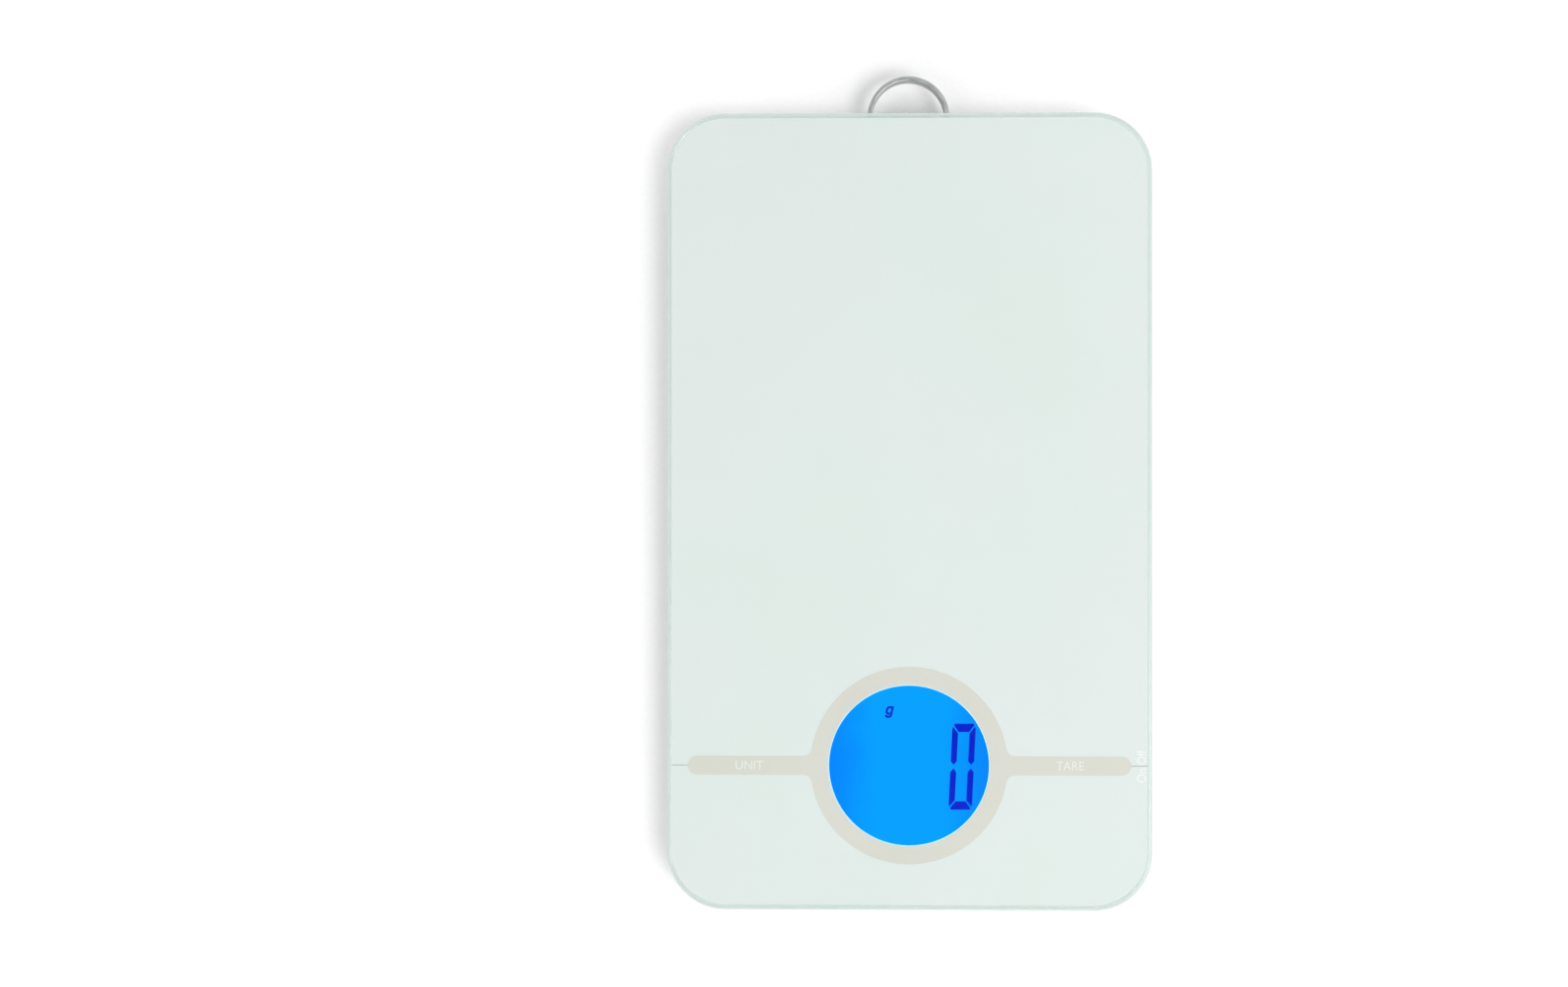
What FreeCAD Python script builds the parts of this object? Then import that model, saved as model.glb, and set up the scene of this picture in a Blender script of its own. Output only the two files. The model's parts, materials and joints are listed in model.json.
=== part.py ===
import FreeCAD
import Part
import Sketcher
import math
import os
import re

from FreeCAD import Placement, Rotation, Vector

# Slim kitchen scale: a glass platform on a shallow tray that stands on four weighing feet.
# Millimetres. +X is right, +Y is rear (the hanging loop), +Z is up, and z = 0 is the table.
# Everything is drawn about the middle of the glass, then moved forward by half of the loop's
# reach, so that the origin is under the middle of the whole object.

os.makedirs("parts", exist_ok=True)
doc = FreeCAD.newDocument("kitchen_scale")
sheet = doc.addObject("Spreadsheet::Sheet", "Dims")

driving_dimensions = {
    # glass platform and what is printed behind it
    "glass_width": 138.0,
    "glass_length": 227.0,
    "glass_thick": 5.0,
    "glass_corner": 16.5,
    "glass_base": 12.5,
    "glass_bevel": 0.8,
    "print_thick": 0.15,
    "print_inset": 0.9,
    "display_front": 40.8,
    "window_size": 46.0,
    "ring_size": 56.5,
    "arm_reach": 63.4,
    "arm_width": 5.5,
    "arm_fillet": 2.5,
    "tape_inset": 0.3,
    # tray under the glass
    "tray_inset": 3.0,
    "tray_corner": 13.5,
    "tray_base": 3.0,
    "tray_rim": 11.75,
    "tray_floor": 2.0,
    "tray_wall": 3.2,
    "tray_draft": 8.0,
    "tray_edge": 2.8,
    "boss_size": 5.6,
    "pilot_low": 4.2,
    "rib_thick": 1.8,
    # screws
    "screw_size": 2.0,
    "screw_tip": 4.8,
    "head_size": 4.2,
    "head_thick": 1.2,
    # weighing feet and load cells
    "foot_across": 45.0,
    "foot_along": 84.0,
    "foot_size": 22.0,
    "foot_gap": 0.5,
    "flange_size": 25.5,
    "flange_low": 5.2,
    "flange_thick": 0.8,
    "collar_gap": 0.4,
    "collar_wall": 1.8,
    "collar_high": 0.85,
    "stud_size": 6.0,
    "cap_low": 0.8,
    "pad_size": 19.0,
    "pad_thick": 1.6,
    "cell_width": 22.0,
    "cell_length": 26.0,
    "cell_low": 6.6,
    "cell_thick": 1.4,
    "slit_width": 1.2,
    "slit_length": 18.0,
    "tongue_width": 8.0,
    "gauge_width": 4.4,
    "gauge_length": 5.0,
    "gauge_thick": 0.35,
    "gauge_setback": 5.5,
    "retainer_thick": 1.6,
    "retainer_screw": 17.0,
    "retainer_end": 3.5,
    "retainer_open_width": 12.0,
    "retainer_open_length": 20.0,
    # display and main board
    "board_low": 7.0,
    "board_thick": 1.2,
    "board_width": 62.0,
    "board_length": 67.0,
    "board_screw_x": 24.0,
    "board_screw_y": 31.0,
    "lcd_size": 52.0,
    "lcd_thick": 1.6,
    "lcd_gap": 0.2,
    "guide_width": 49.8,
    "guide_thick": 2.2,
    "guide_front": 2.4,
    "film_thick": 0.2,
    "frame_wall": 3.0,
    "ear_width": 6.4,
    "ear_length": 5.0,
    "ear_thick": 1.5,
    "zebra_length": 46.0,
    "zebra_thick": 1.8,
    "zebra_front": 0.3,
    "lamp_thick": 1.1,
    "lamp_width": 3.0,
    "lamp_high": 1.4,
    "lamp_pitch": 14.0,
    # touch films behind UNIT and TARE
    "touch_near": 29.8,
    "touch_far": 58.0,
    "touch_width": 8.0,
    "touch_thick": 0.15,
    "clip_outer": 30.9,
    "clip_foot": 1.5,
    "clip_head": 1.0,
    "clip_width": 3.0,
    "clip_strip": 0.2,
    # side button and its switch
    "button_length": 12.0,
    "button_height": 3.6,
    "button_proud": 0.85,
    "button_gap": 0.2,
    "button_level": 8.6,
    "lip_gap": 0.1,
    "lip_thick": 0.8,
    "lip_side": 1.2,
    "lip_high": 0.6,
    "switch_gap": 0.8,
    "switch_deep": 2.7,
    "switch_long": 4.7,
    "switch_high": 3.4,
    "stem_size": 1.6,
    "stem_bore": 1.9,
    "stem_inside": 0.9,
    "stem_travel": 0.7,
    "card_across": 59.0,
    "card_width": 4.4,
    "card_length": 11.0,
    "card_thick": 1.0,
    "post_spread": 4.2,
    "post_length": 2.4,
    # battery, its contacts and its cover
    "coin_size": 20.0,
    "coin_thick": 3.2,
    "coin_low": 4.4,
    "coin_setback": 0.6,
    "well_width": 24.4,
    "well_length": 28.8,
    "well_along": 5.2,
    "well_ceiling": 8.4,
    "well_wall": 1.2,
    "strip_thick": 0.3,
    "strip_tail": 2.0,
    "plus_width": 6.0,
    "plus_tail_width": 3.0,
    "minus_width": 4.0,
    "minus_across": 6.0,
    "dimple_size": 2.0,
    "lid_thick": 1.2,
    "lid_gap": 0.2,
    "knuckle_radius": 0.9,
    "pin_size": 1.0,
    "pin_gap": 0.08,
    "pin_reach": 0.9,
    "thumb_size": 9.0,
    "thumb_deep": 0.7,
    # hanging loop and its guide
    "loop_reach": 11.85,
    "loop_strip": 1.4,
    "loop_depth": 4.5,
    "loop_low": 5.6,
    "loop_gap": 0.3,
    "loop_tab": 3.9,
    "inner_rib_length": 11.5,
    "outer_rib_length": 15.5,
    "loop_screw_x": 21.5,
    "loop_lid_width": 51.0,
    "loop_lid_length": 14.6,
    "loop_lid_thick": 0.9,
    "low_head_thick": 0.6,
    # leads
    "lead_size": 1.2,
}

for row, (alias, number) in enumerate(driving_dimensions.items(), start=1):
    sheet.set(f"A{row}", alias)
    sheet.set(f"B{row}", str(number))
    sheet.setAlias(f"B{row}", alias)
doc.recompute()

# Levels and places that follow from the driving dimensions, as expression text.
display_y = "(display_front - glass_length / 2)"
tray_width = "(glass_width - 2 * tray_inset)"
tray_length = "(glass_length - 2 * tray_inset)"
floor_top = "(tray_base + tray_floor)"
cavity_x = "(glass_width / 2 - tray_inset - tray_wall)"
cavity_y = "(glass_length / 2 - tray_inset - tray_wall)"
print_low = "(glass_base - print_thick)"
flange_top = "(flange_low + flange_thick)"
cell_top = "(cell_low + cell_thick)"
board_top = "(board_low + board_thick)"
guide_low = f"({board_top} + film_thick)"
lcd_low = f"({guide_low} + guide_thick)"
lcd_top = f"({lcd_low} + lcd_thick)"
ear_top = f"({board_top} + ear_thick)"
card_top = "(button_level - switch_high / 2)"
card_low = f"({card_top} - card_thick)"
coin_y = "(well_along - coin_setback)"
lid_hinge_y = "(well_along + well_length / 2 - lid_gap - knuckle_radius)"
loop_high = "(loop_low + loop_depth)"
loop_lid_low = f"({loop_high} + loop_gap)"
loop_screw_y = f"({cavity_y} - outer_rib_length / 2)"
case_shift = "(0 - loop_reach / 2)"

sides = (-1, 1)
quarters = [(across, along) for across in sides for along in sides]
corners = {
    "front_left": (-1, -1),
    "front_right": (1, -1),
    "rear_left": (-1, 1),
    "rear_right": (1, 1),
}
subparts = {}


def formula(text):
    """Points each driving name in the text at its cell in the sheet."""
    return re.sub(r"[a-z]+(?:_[a-z]+)+", r"Dims.\g<0>", text)


def bind(thing, **expressions):
    """Binds properties to expressions. Two underscores in a name stand for a dot."""
    for name, text in expressions.items():
        thing.setExpression(name.replace("__", "."), formula(text))


def place(thing, x, y, z):
    bind(thing, Placement__Base__x=x, Placement__Base__y=y, Placement__Base__z=z)


def keep(thing, label, y="0"):
    """Makes a finished object a sub-part with its own label, at its place in the whole object."""
    thing.Label = label
    bind(thing, Placement__Base__y=f"{y} + {case_shift}")
    subparts[label] = thing


def block(name, x, y, z):
    """A box from three pairs of expressions: where it starts and where it ends on each axis."""
    made = doc.addObject("Part::Box", name)
    bind(made, Length=f"({x[1]}) - ({x[0]})", Width=f"({y[1]}) - ({y[0]})", Height=f"({z[1]}) - ({z[0]})")
    place(made, x[0], y[0], z[0])
    return made


def around(middle, size):
    """A pair of expressions, half of the size to each side of the middle."""
    return f"({middle}) - ({size}) / 2", f"({middle}) + ({size}) / 2"


def rod(name, x, y, z, diameter):
    """An upright cylinder between two levels."""
    made = doc.addObject("Part::Cylinder", name)
    bind(made, Radius=f"({diameter}) / 2", Height=f"({z[1]}) - ({z[0]})")
    place(made, x, y, z[0])
    return made


def cross_rod(name, x, y, z, diameter):
    """A cylinder lying along X between two places."""
    made = doc.addObject("Part::Cylinder", name)
    made.Placement = Placement(Vector(0, 0, 0), Rotation(Vector(0, 1, 0), 90))
    bind(made, Radius=f"({diameter}) / 2", Height=f"({x[1]}) - ({x[0]})")
    place(made, x[0], y, z)
    return made


def joined(name, pieces):
    made = doc.addObject("Part::MultiFuse", name)
    made.Shapes = pieces
    return made


def cut(name, base, tools):
    """The base with every tool taken out of it."""
    made = doc.addObject("Part::Cut", name)
    made.Base = base
    made.Tool = tools[0] if len(tools) == 1 else joined(f"{name}_tools", tools)
    return made


def group(name, pieces):
    """Small pieces of one kind kept as separate solids in one sub-part."""
    made = doc.addObject("Part::Compound", name)
    made.Links = pieces
    return made


def rectangle(body, name, width, length, level):
    """A fully constrained rectangle about the middle, on the body's XY plane moved to a level."""
    sketch = body.newObject("Sketcher::SketchObject", name)
    plane = next(part for part in body.Origin.OriginFeatures if part.Role == "XY_Plane")
    sketch.AttachmentSupport = (plane, "")
    sketch.MapMode = "FlatFace"
    bind(sketch, AttachmentOffset__Base__z=level)
    half = 10
    points = [Vector(-half, -half), Vector(half, -half), Vector(half, half), Vector(-half, half)]
    for index, point in enumerate(points):
        sketch.addGeometry(Part.LineSegment(point, points[(index + 1) % 4]))
    for index in range(4):
        sketch.addConstraint(Sketcher.Constraint("Coincident", index, 2, (index + 1) % 4, 1))
    for index, kind in enumerate(["Horizontal", "Vertical", "Horizontal", "Vertical"]):
        sketch.addConstraint(Sketcher.Constraint(kind, index))
    sketch.addConstraint(Sketcher.Constraint("Symmetric", 0, 1, 1, 2, -1, 1))
    for kind, index, title, size in (("DistanceX", 0, "width", width), ("DistanceY", 1, "length", length)):
        number = sketch.addConstraint(Sketcher.Constraint(kind, index, 1, index, 2, 2.0 * half))
        sketch.renameConstraint(number, title)
        sketch.setExpression(f"Constraints.{title}", formula(size))
    return sketch


def edges_where(feature, test):
    """The names of the feature's edges that pass the test."""
    return [f"Edge{number}" for number, edge in enumerate(feature.Shape.Edges, start=1) if test(edge)]


def is_corner(edge):
    """True for an edge that runs up or nearly up, as at the corner of a drafted wall."""
    run = edge.lastVertex().Point - edge.firstVertex().Point
    return abs(run.z) > 0.7 * run.Length


def dress(body, kind, base, edges, **expressions):
    """Adds a fillet or a chamfer on some edges of the body's last feature."""
    made = body.newObject(f"PartDesign::{kind}", f"{body.Name}_{kind.lower()}")
    made.Base = (base, edges)
    bind(made, **expressions)
    doc.recompute()
    return made


def slab(name, width, length, corner, level, draft="0 deg"):
    """A body that is one padded rectangle with rounded corners. Returns the body and its last feature."""
    body = doc.addObject("PartDesign::Body", name)
    pad = body.newObject("PartDesign::Pad", f"{name}_pad")
    pad.Profile = rectangle(body, f"{name}_outline", width, length, level[0])
    bind(pad, Length=f"({level[1]}) - ({level[0]})", TaperAngle=draft)
    doc.recompute()
    return body, dress(body, "Fillet", pad, edges_where(pad, is_corner), Radius=corner)


def screw(name, x, y, seat, head="head_thick"):
    """A pan-head screw: its head stands on the seat and its shank goes down into the tray."""
    return joined(name, [rod(f"{name}_head", x, y, (seat, f"{seat} + {head}"), "head_size"),
                         rod(f"{name}_shank", x, y, ("screw_tip", seat), "screw_size")])


def pilot(name, x, y, top):
    """What a screw's hole takes out of its boss."""
    return rod(name, x, y, ("pilot_low", f"{top} + 0.1"), "screw_size")


def corner_place(name):
    across, along = corners[name]
    return f"({across} * foot_across)", f"({along} * foot_along)"


# Glass platform and the prints on its back

def glass_platform():
    body, rounded = slab("glass", "glass_width", "glass_length", "glass_corner",
                         ("glass_base", "glass_base + glass_thick"))
    flat = edges_where(rounded, lambda edge: edge.BoundBox.ZLength < 1e-6)
    dress(body, "Chamfer", rounded, flat, Size="glass_bevel")
    keep(body, "glass_platform")


def prints():
    """White print over the whole back, and a beige ring with two arms let into it."""
    level = (print_low, "glass_base")
    disc = rod("ring_disc", "0", display_y, level, "ring_size")
    arms = block("ring_arms", around("0", "2 * arm_reach - arm_width"), around(display_y, "arm_width"), level)
    ends = [rod(f"arm_end_{side + 1}", f"{side} * (arm_reach - arm_width / 2)", display_y, level, "arm_width")
            for side in sides]
    blank = joined("ring_blank", [disc, arms, *ends])
    doc.recompute()
    inner = [number for number, edge in enumerate(blank.Shape.Edges, start=1)
             if is_corner(edge) and abs(edge.firstVertex().X) < sheet.ring_size / 2]
    softened = doc.addObject("Part::Fillet", "ring_softened")
    softened.Base = blank
    softened.Edges = [(number, sheet.arm_fillet, sheet.arm_fillet) for number in inner]
    window = rod("ring_window", "0", display_y, level, "window_size")
    keep(cut("ring", softened, [window]), "ring_print")
    white, _ = slab("white", "glass_width - 2 * print_inset", "glass_length - 2 * print_inset",
                    "glass_corner - print_inset", level)
    keep(cut("white_round_ring", white, [softened]), "back_print")


def mounting_tape():
    """A frame of foam tape between the tray's rim and the print."""
    level = ("tray_rim", print_low)
    outer, _ = slab("tape_outer", f"{tray_width} - 2 * tape_inset", f"{tray_length} - 2 * tape_inset",
                    "tray_corner - tape_inset", level)
    opening, _ = slab("tape_opening", f"2 * ({cavity_x} + tape_inset)", f"2 * ({cavity_y} + tape_inset)",
                      "tray_corner - tray_wall", level)
    keep(cut("tape", outer, [opening]), "mounting_tape")


# Tray: drafted walls, a flat floor, and everything that is moulded on it

def tray_shell():
    taper = "2 * (tray_rim - tray_base) * tan(tray_draft * 1 deg)"
    outside, rounded = slab("tray_outside", f"{tray_width} - {taper}", f"{tray_length} - {taper}", "tray_corner",
                            ("tray_base", "tray_rim"), "tray_draft * 1 deg")
    low = edges_where(rounded, lambda edge: edge.BoundBox.ZMax < sheet.tray_base + 0.01)
    dress(outside, "Fillet", rounded, low, Radius="tray_edge")
    inside, _ = slab("tray_inside", f"2 * {cavity_x}", f"2 * {cavity_y}", "tray_corner - tray_wall",
                     (floor_top, "tray_rim"))
    return cut("tray_shell", outside, [inside])


def foot_seats(added, removed):
    """A hole with a collar for each foot, and two bosses beside it for the cell's retainer."""
    for name in corners:
        x, y = corner_place(name)
        bore = "flange_size + 2 * collar_gap"
        added.append(rod(f"collar_{name}", x, y, (floor_top, f"{floor_top} + collar_high"),
                         f"{bore} + 2 * collar_wall"))
        removed.append(rod(f"collar_bore_{name}", x, y, (floor_top, "cell_low"), bore))
        removed.append(rod(f"foot_hole_{name}", x, y, ("0", f"{floor_top} + 1"), "foot_size + 2 * foot_gap"))
        for end in sides:
            boss_y = f"{y} + {end} * retainer_screw"
            added.append(rod(f"cell_boss_{name}_{end + 1}", x, boss_y, (floor_top, cell_top), "boss_size"))
            removed.append(pilot(f"cell_pilot_{name}_{end + 1}", x, boss_y, cell_top))


def board_bosses(added, removed):
    for across, along in quarters:
        x = f"{across} * board_screw_x"
        y = f"{display_y} + {along} * board_screw_y"
        added.append(rod(f"board_boss_{across + 1}{along + 1}", x, y, (floor_top, "board_low"), "boss_size"))
        removed.append(pilot(f"board_pilot_{across + 1}{along + 1}", x, y, "board_low"))


def battery_well(added, removed):
    """A roofed well over a hole in the floor, with slots for the contacts and holes for the cover's pins."""
    added.append(block("well_block", around("0", "well_width + 2 * well_wall"),
                       around("well_along", "well_length + 2 * well_wall"), (floor_top, "well_ceiling + well_wall")))
    removed.append(block("well_space", around("0", "well_width"), around("well_along", "well_length"),
                         ("0", "well_ceiling")))
    removed.append(cross_rod("lid_pin_hole", around("0", "well_width + 2 * (pin_reach + lid_gap)"), lid_hinge_y,
                             "tray_base + knuckle_radius", "pin_size + 2 * pin_gap"))
    slot_y = ("well_along - well_length / 2 - 2 * well_wall", "well_along")
    removed.append(block("plus_slot", around("0", "plus_tail_width"), slot_y, plus_level()))
    removed.append(block("minus_slot", around("0 - minus_across", "minus_width"), slot_y, minus_level()))
    removed.append(rod("thumb_notch", "0", "well_along - well_length / 2", ("0", "tray_base + thumb_deep"),
                       "thumb_size"))


def button_slot(added, removed):
    """An oval slot through the right wall, and two low posts for the switch's card."""
    half = "(button_length - button_height) / 2"
    through = (cavity_x + " - 1", "glass_width / 2")
    removed.append(block("button_slot", through, around(display_y, f"2 * {half}"),
                         around("button_level", "button_height + 2 * button_gap")))
    for end in sides:
        removed.append(cross_rod(f"button_slot_end_{end + 1}", through, f"{display_y} + {end} * {half}",
                                 "button_level", "button_height + 2 * button_gap"))
        added.append(block(f"card_post_{end + 1}", around("card_across", "card_width - 0.4"),
                           around(f"{display_y} + {end} * post_spread", "post_length"), (floor_top, card_low)))


def loop_guide(added, removed):
    """Ribs on both sides of each leg of the loop, bosses for the plate over them, and a slot in the rear wall."""
    level = (floor_top, loop_lid_low)
    for side in sides:
        ribs = (("inner", "loop_reach - loop_strip - loop_gap - rib_thick / 2", "inner_rib_length"),
                ("outer", "loop_reach + loop_tab + loop_gap + rib_thick / 2", "outer_rib_length"))
        for title, across, length in ribs:
            front = f"({cavity_y} - outer_rib_length)"
            added.append(block(f"{title}_rib_{side + 1}", around(f"{side} * ({across})", "rib_thick"),
                               (front, f"{front} + {length}"), level))
        x = f"{side} * loop_screw_x"
        added.append(rod(f"loop_boss_{side + 1}", x, loop_screw_y, level, "boss_size"))
        removed.append(pilot(f"loop_pilot_{side + 1}", x, loop_screw_y, loop_lid_low))
    removed.append(block("loop_slot", around("0", "2 * (loop_reach + loop_gap)"),
                         (f"{cavity_y} - 1", "glass_length / 2"), ("loop_low - loop_gap", loop_lid_low)))


def base_tray():
    added = []
    removed = []
    for feature in (foot_seats, board_bosses, battery_well, button_slot, loop_guide):
        feature(added, removed)
    keep(cut("tray", joined("tray_with_bosses", [tray_shell(), *added]), removed), "base_tray")


# Weighing feet

def foot(name):
    """A cap with a flange that can't fall through the tray, a stud under the load cell, and a rubber pad."""
    x, y = corner_place(name)
    cap = rod(f"cap_{name}", x, y, ("cap_low", "flange_low"), "foot_size")
    flange = rod(f"flange_{name}", x, y, ("flange_low", flange_top), "flange_size")
    stud = rod(f"stud_{name}", x, y, (flange_top, "cell_low"), "stud_size")
    recess = rod(f"recess_{name}", x, y, ("0", "pad_thick"), "pad_size")
    keep(cut(f"cap_whole_{name}", joined(f"cap_blank_{name}", [cap, flange, stud]), [recess]), f"foot_{name}")
    keep(rod(f"pad_{name}", x, y, ("0", "pad_thick"), "pad_size"), f"foot_pad_{name}", y)


def load_cell(name):
    """A steel plate whose centre tongue is cut free on three sides and carries the foot, and its gauge."""
    x, y = corner_place(name)
    level = ("cell_low", cell_top)
    plate = block(f"cell_plate_{name}", around(x, "cell_width"), around(y, "cell_length"), level)
    slits = [block(f"slit_{name}_{side + 1}", around(f"{x} + {side} * (tongue_width + slit_width) / 2", "slit_width"),
                   around(y, "slit_length"), level) for side in sides]
    slits.append(block(f"slit_end_{name}", around(x, "tongue_width + 2 * slit_width"),
                       around(f"{y} + slit_length / 2", "slit_width"), level))
    keep(cut(f"cell_{name}", plate, slits), f"load_cell_{name}")
    gauge_y = around(f"{y} - gauge_setback", "gauge_length")
    keep(block(f"gauge_{name}", around(x, "gauge_width"), gauge_y, (cell_top, f"{cell_top} + gauge_thick")),
         f"strain_gauge_{name}", gauge_y[0])


def cell_retainer(name):
    """A moulded bridge that presses the frame of the cell down, open over the tongue."""
    x, y = corner_place(name)
    level = (cell_top, f"{cell_top} + retainer_thick")
    bridge = block(f"bridge_{name}", around(x, "cell_width"), around(y, "2 * (retainer_screw + retainer_end)"), level)
    opening = block(f"bridge_opening_{name}", around(x, "retainer_open_width"), around(y, "retainer_open_length"),
                    level)
    holes = [rod(f"bridge_hole_{name}_{end + 1}", x, f"{y} + {end} * retainer_screw", level, "screw_size")
             for end in sides]
    keep(cut(f"bridge_cut_{name}", bridge, [opening, *holes]), f"load_cell_retainer_{name}")


def retainer_screws():
    made = []
    for name in corners:
        x, y = corner_place(name)
        made += [screw(f"cell_screw_{name}_{end + 1}", x, f"({y} + {end} * retainer_screw)",
                       f"({cell_top} + retainer_thick)") for end in sides]
    keep(group("cell_screws", made), "retainer_screws")


# Display and main board

def display_frame():
    """A square frame round the display cell, with an ear for a screw at each corner."""
    opening = "lcd_size + 2 * lcd_gap"
    size = f"{opening} + 2 * frame_wall"
    level = (board_top, lcd_top)
    solids = [block("frame_block", around("0", size), around(display_y, size), level)]
    hollows = [block("frame_window", around("0", opening), around(display_y, opening), level)]
    for across, along in quarters:
        tag = f"{across + 1}{along + 1}"
        x = f"({across} * board_screw_x)"
        y = f"({display_y} + {along} * board_screw_y)"
        solids.append(block(f"ear_{tag}", around(x, "ear_width"), around(y, "ear_length"), (board_top, ear_top)))
        hollows.append(rod(f"ear_hole_{tag}", x, y, (board_top, ear_top), "screw_size"))
        hollows.append(rod(f"ear_head_{tag}", x, y, (ear_top, lcd_top), "head_size + 0.4"))
    keep(cut("frame", joined("frame_blank", solids), hollows), "display_frame")


def display_stack():
    """From the front: display cell, light guide, reflector, and the rubber strip that feeds the cell."""
    front = f"({display_y} - lcd_size / 2)"
    back = f"({display_y} + lcd_size / 2)"
    layers = {
        "lcd_panel": ("lcd_size", (front, back), (lcd_low, lcd_top)),
        "light_guide": ("guide_width", (f"{front} + guide_front", back), (guide_low, lcd_low)),
        "reflector_film": ("guide_width", (f"{front} + guide_front", back), (board_top, guide_low)),
        "zebra_connector": ("zebra_length", (f"{front} + zebra_front", f"{front} + zebra_front + zebra_thick"),
                            (board_top, lcd_low)),
    }
    for label, (width, along, level) in layers.items():
        keep(block(f"{label}_block", around("0", width), along, level), label, along[0])
    lamps = [block(f"lamp_{step + 1}", ("guide_width / 2 + 0.1", "guide_width / 2 + 0.1 + lamp_thick"),
                   around(f"{display_y} + {step} * lamp_pitch", "lamp_width"),
                   (board_top, f"{board_top} + lamp_high")) for step in (-1, 0, 1)]
    keep(group("lamps", lamps), "backlight_leds")


def main_board():
    level = ("board_low", board_top)
    board = block("board_blank", around("0", "board_width"), around(display_y, "board_length"), level)
    holes = []
    screws = []
    for across, along in quarters:
        tag = f"{across + 1}{along + 1}"
        x = f"({across} * board_screw_x)"
        y = f"({display_y} + {along} * board_screw_y)"
        holes.append(rod(f"board_hole_{tag}", x, y, level, "screw_size"))
        screws.append(screw(f"board_screw_{tag}", x, y, ear_top))
    keep(cut("board_cut", board, holes), "main_board")
    keep(group("board_screw_set", screws), "board_screws")


def board_components():
    """Chips under the board: place from the display's centre, width, length and height."""
    layout = {
        "controller": (-6, 4, 10, 10, 0.9),
        "amplifier": (10, 12, 5, 4, 0.9),
        "crystal": (8, -4, 3.2, 1.6, 0.8),
        "regulator": (-16, -10, 3, 3, 0.9),
        "memory": (16, -2, 4, 5, 0.9),
    }
    resistor_count = 8
    resistor_pitch = 5
    for count in range(resistor_count):
        across = (count - (resistor_count - 1) / 2) * resistor_pitch
        layout[f"resistor_{count}"] = (across, -18, 1, 2, 0.6)
    chips = [block(f"chip_{title}", around(str(x), str(width)), around(f"{display_y} + ({y})", str(length)),
                   (f"board_low - {height}", "board_low"))
             for title, (x, y, width, length, height) in layout.items()]
    keep(group("chips", chips), "board_components")


def touch_parts():
    """A copper film behind each end of the beige arm, and a sprung strip from it down to the board."""
    film_low = f"({print_low} - touch_thick)"
    for label, side in (("unit", -1), ("tare", 1)):
        film_y = around(display_y, "touch_width")
        film_x = around(f"{side} * (touch_near + touch_far) / 2", "touch_far - touch_near")
        keep(block(f"{label}_film", film_x, film_y, (film_low, print_low)), f"{label}_touch_film", film_y[0])
        bends = {
            "foot": ("clip_foot", (board_top, f"{board_top} + clip_strip")),
            "post": ("clip_strip", (board_top, film_low)),
            "head": ("clip_head", (f"{film_low} - clip_strip", film_low)),
        }
        strips = [block(f"{label}_{title}", around(f"{side} * (clip_outer - {width} / 2)", width),
                        around(display_y, "clip_width"), level) for title, (width, level) in bends.items()]
        keep(joined(f"{label}_clip", strips), f"{label}_touch_contact")


# Side button

def power_button():
    """An oval push button through the right wall, with a lip inside that keeps it from falling out."""
    lip_out = f"({cavity_x} - lip_gap)"
    face = "(glass_width / 2 - tray_inset + button_proud)"
    half = "(button_length - button_height) / 2"
    pieces = [block("button_middle", (lip_out, face), around(display_y, f"2 * {half}"),
                    around("button_level", "button_height")),
              block("button_lip", (f"{lip_out} - lip_thick", lip_out),
                    around(display_y, "button_length + 2 * lip_side"),
                    around("button_level", "button_height + 2 * lip_high"))]
    pieces += [cross_rod(f"button_end_{end + 1}", (lip_out, face), f"{display_y} + {end} * {half}",
                         "button_level", "button_height") for end in sides]
    keep(joined("button", pieces), "power_button")


def side_switch():
    """A tactile switch on its own small card. Its stem slides into the housing with the button."""
    face = f"({cavity_x} - lip_gap - lip_thick - switch_gap)"
    housing = block("switch_housing", (f"{face} - switch_deep", face), around(display_y, "switch_long"),
                    around("button_level", "switch_high"))
    stem_end = f"({face} - stem_inside)"
    bore = cross_rod("switch_bore", (f"{stem_end} - stem_travel", f"{face} + 1"), display_y, "button_level",
                     "stem_bore")
    keep(cut("switch", housing, [bore]), "power_switch")
    keep(cross_rod("stem", (stem_end, f"{face} + switch_gap"), display_y, "button_level", "stem_size"),
         "switch_stem", display_y)
    card_y = around(display_y, "card_length")
    keep(block("card", around("card_across", "card_width"), card_y, (card_low, card_top)), "switch_board", card_y[0])


# Battery

def plus_level():
    return "well_ceiling - 0.5 - strip_thick", "well_ceiling - 0.5"


def minus_level():
    return "well_ceiling - strip_thick", "well_ceiling"


def battery():
    """A coin cell, a strip against its rim and a strip over it, each with a tail out of the well."""
    coin_top = "(coin_low + coin_thick)"
    keep(rod("coin", "0", coin_y, ("coin_low", coin_top), "coin_size"), "coin_cell", coin_y)
    rim_y = f"({coin_y} - coin_size / 2)"
    tail_y = "(well_along - well_length / 2 - well_wall - strip_tail)"
    upright = block("plus_upright", around("0", "plus_width"), (f"{rim_y} - strip_thick", rim_y),
                    ("coin_low + 0.2", plus_level()[1]))
    tail = block("plus_tail", around("0", "plus_tail_width"), (tail_y, rim_y), plus_level())
    keep(joined("plus_contact", [upright, tail]), "battery_contact_positive")
    strip = block("minus_strip", around("0 - minus_across", "minus_width"), (tail_y, f"{coin_y} + 3"), minus_level())
    dimple = rod("minus_dimple", "0 - minus_across", coin_y, (coin_top, minus_level()[0]), "dimple_size")
    keep(joined("minus_contact", [strip, dimple]), "battery_contact_negative")


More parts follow.
